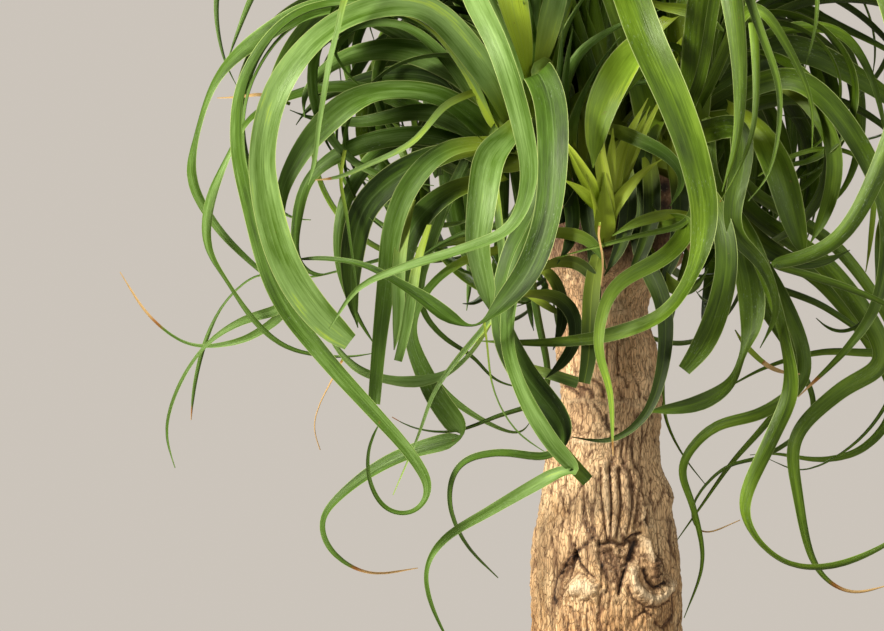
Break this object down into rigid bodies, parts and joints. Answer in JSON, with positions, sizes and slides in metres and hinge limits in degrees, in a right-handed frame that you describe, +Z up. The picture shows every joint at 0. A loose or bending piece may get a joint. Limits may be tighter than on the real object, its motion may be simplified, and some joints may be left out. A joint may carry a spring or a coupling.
{
  "type": "potted ponytail palm",
  "caption": "Potted ponytail palm: a corky trunk with a swollen foot in a plain tapered pot, topped by crowns of long curling strap leaves and a young front shoot",
  "frame": {"origin": "the middle of the pot's flat underside", "axes": "+Z is up along the trunk, the side shown in the picture faces -Y, and +X is to its right"},
  "size_m": [0.6388, 0.4721, 1.0569],
  "materials": {
    "pot": "plain unglazed ceramic with a fine matt grain",
    "soil": "dark, lumpy, slightly damp potting soil",
    "bark": "corky tan bark with fissures, ridges and old scars",
    "leaf": "smooth satin green leaf with fine lengthwise veins",
    "young_leaf": "smooth yellow-green young leaf"
  },
  "bodies": {
    "root": {"pot": "pot", "soil": "soil", "trunk": "bark", "crown_left": "leaf", "crown_right": "leaf", "crown_back": "leaf", "front_shoot": "young_leaf"}
  },
  "joints": []
}
